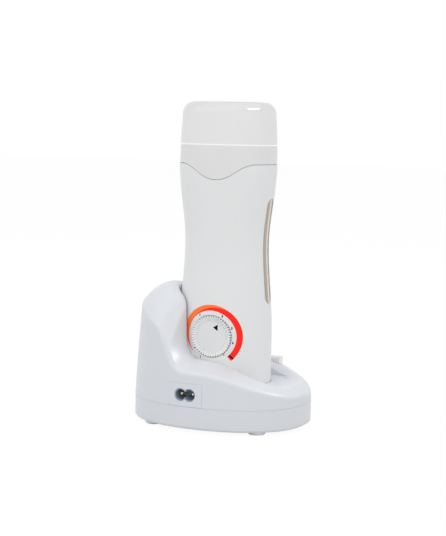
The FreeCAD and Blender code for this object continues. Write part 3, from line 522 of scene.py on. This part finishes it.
# ------------------------------------------------------------------ the studio
def place_camera():
    """Camera a little above the object, turned from its front towards the window side."""
    azimuth = math.radians(CAMERA_AZIMUTH)
    elevation = math.radians(CAMERA_ELEVATION)
    roll = math.radians(CAMERA_ROLL)
    back = Vector((
        math.sin(azimuth) * math.cos(elevation),
        -math.cos(azimuth) * math.cos(elevation),
        math.sin(elevation),
    ))
    right = Vector((math.cos(azimuth), math.sin(azimuth), 0.0))
    up = back.cross(right)
    x_axis = right * math.cos(roll) + up * math.sin(roll)
    y_axis = up * math.cos(roll) - right * math.sin(roll)
    rotation = Matrix((x_axis, y_axis, back)).transposed().to_4x4()
    data = bpy.data.cameras.new("camera")
    data.lens = CAMERA_LENS
    data.sensor_width = CAMERA_SENSOR
    data.shift_x, data.shift_y = CAMERA_SHIFT
    data.clip_start, data.clip_end = CAMERA_CLIP
    camera = bpy.data.objects.new("camera", data)
    camera.matrix_world = Matrix.Translation(CAMERA_TARGET + back * CAMERA_DISTANCE) @ rotation
    bpy.context.scene.collection.objects.link(camera)
    bpy.context.scene.camera = camera


def make_floor():
    """Plain pale floor that shows white and keeps the object's shadow."""
    signs = ((-1.0, -1.0), (1.0, -1.0), (1.0, 1.0), (-1.0, 1.0))
    corners = [(x * FLOOR_REACH, y * FLOOR_REACH, 0.0) for x, y in signs]
    mesh = bpy.data.meshes.new("floor")
    mesh.from_pydata(corners, [], [(0, 1, 2, 3)])
    floor = bpy.data.objects.new("floor", mesh)
    floor.location.z = -FLOOR_DROP
    bpy.context.scene.collection.objects.link(floor)
    shader = Shader("stage_white")
    lit = shader.add("ShaderNodeBsdfDiffuse")
    shader.feed(lit.inputs["Color"], FLOOR_COLOUR)
    bright = shader.emission("ShaderNodeEmission", WHITE, FLOOR_SEEN_STRENGTH)
    surface = shader.seen_white(FLOOR_SEEN_SHARE, lit.outputs[0], bright)
    mesh.materials.append(shader.finish(surface))


def make_sky():
    """Soft light from all round, seen as plain white."""
    shader = Shader("studio", world=True)
    soft = shader.emission("ShaderNodeBackground", SKY_COLOUR, SKY_STRENGTH)
    white = shader.emission("ShaderNodeBackground", WHITE, 1.0)
    bpy.context.scene.world = shader.finish(shader.seen_white(1.0, soft, white))


def area_light(name, place, aim, size, power, gloss=True):
    """Soft lamp aimed at a point, which reflections show unless gloss is off."""
    data = bpy.data.lights.new(name, "AREA")
    data.shape = "RECTANGLE"
    data.size, data.size_y = size
    data.energy = power
    lamp = bpy.data.objects.new(name, data)
    lamp.location = place
    lamp.rotation_mode = "QUATERNION"
    lamp.rotation_quaternion = (Vector(aim) - Vector(place)).to_track_quat("-Z", "Y")
    lamp.visible_glossy = gloss
    bpy.context.scene.collection.objects.link(lamp)
    return lamp


def highlight(name, place, aim, size, power, node_name):
    """Lamp that shows only as a reflection on one CAD node."""
    lamp = area_light(name, place, aim, size, power)
    lamp.visible_diffuse = False
    shown_on = bpy.data.collections.new(name + "_shown_on")
    shown_on.objects.link(nodes[node_name])
    lamp.light_linking.receiver_collection = shown_on


# ----------------------------------------------------------------- the making
bpy.context.scene.view_settings.view_transform = "Standard"
place_camera()

dress(
    moulded("dock_white", (0.74, 0.755, 0.785), roughness=0.42, gloss=0.16, gloss_blur=0.10),
    "base_top_shell", "base_bottom_shell", "inlet_bezel",
)
dress(
    moulded("handle_white", (0.845, 0.845, 0.84), roughness=0.45, gloss=0.2),
    "handle_front_shell", "handle_rear_shell", "handle_bottom_cover",
)
dress(
    moulded("switch_white", (0.92, 0.91, 0.92), roughness=0.5, gloss=0.0),
    "switch_slider",
)
dress(
    moulded("neck_white", (0.93, 0.93, 0.93), roughness=0.45, gloss=0.1),
    "neck_ring",
)
dress(
    moulded("insulator_slate", (0.30, 0.39, 0.48), roughness=0.35, gloss=0.8),
    "inlet_socket", "dock_connector", "handle_inlet",
)
dress(
    moulded("phenolic_black", (0.02, 0.02, 0.022), roughness=0.5, gloss=0.1),
    "switch_body", "thermostat_body",
)
dress(
    moulded("cradle_tan", (0.56, 0.50, 0.40), roughness=0.55, gloss=0.0),
    "chamber_seat",
)
dress(
    ribbed("dial_white", (0.82, 0.82, 0.815), roughness=0.42, gloss=0.15),
    "dial_knob",
)
dress(scale_colours("scale_print"), "scale_ring")
dress(
    # the neck and crown colours are painted shade
    frosted(
        "cap_frosted",
        (0.915, 0.91, 0.90),
        neck_shade_colour=(0.865, 0.86, 0.85),
        crown_shade_colour=(0.63, 0.627, 0.622),
        opacity=0.93,
    ),
    "cap",
)
dress(
    tinted_window("window_tinted", (0.51, 0.40, 0.31), pale=(0.92, 0.86, 0.76), opacity=0.8),
    "window_lens",
)
dress(rubber("foot_rubber", (0.76, 0.79, 0.83)), "rubber_feet")
dress(heating_mat("mat_silicone", (0.40, 0.09, 0.03)), "heating_mats")
dress(
    metal("steel_zinc", (0.60, 0.60, 0.62), roughness=0.3),
    "base_screws", "handle_screws", "thermostat_bracket", "bracket_screws",
)
dress(
    metal("nickel", (0.86, 0.62, 0.42), roughness=0.2),
    "inlet_pins",
)
dress(
    metal("brass", (0.72, 0.50, 0.20), roughness=0.25),
    "dock_contacts", "handle_contacts", "thermostat_shaft",
)
dress(
    metal("aluminium_drawn", (0.78, 0.78, 0.79), roughness=0.3, stretch=(1.0, 1.0, 0.05)),
    "heating_chamber", "thermal_fuse",
)

print_black = ink("print_black", (0.004, 0.004, 0.004))
handle_front = surface_of("handle_front_shell")
for number, place in enumerate(NUMERAL_PLACES, 1):
    print_numeral(str(number), place, handle_front, print_black)
print_mark(surface_of("dial_knob"), print_black)

make_floor()
make_sky()
area_light("key", (-0.7, -1.1, 1.5), aim=(0.0, 0.0, 0.1), size=(1.8, 1.8), power=7.2)
area_light("top", (0.15, 0.1, 1.6), aim=(0.0, 0.0, 0.1), size=(1.6, 1.6), power=4.8)
area_light("side", (1.3, -0.8, 0.75), aim=(0.0, 0.0, 0.15), size=(1.2, 1.2), power=3.1, gloss=False)
highlight(
    "cap_glint", (0.9, -0.61, 1.29), aim=(0.0, 0.0, 0.2),
    size=(0.9, 0.3), power=24.0, node_name="cap",
)
highlight(
    "dock_glint", (1.06, 0.21, 1.05), aim=(0.0, 0.0, 0.07),
    size=(0.55, 0.35), power=10.0, node_name="base_top_shell",
)
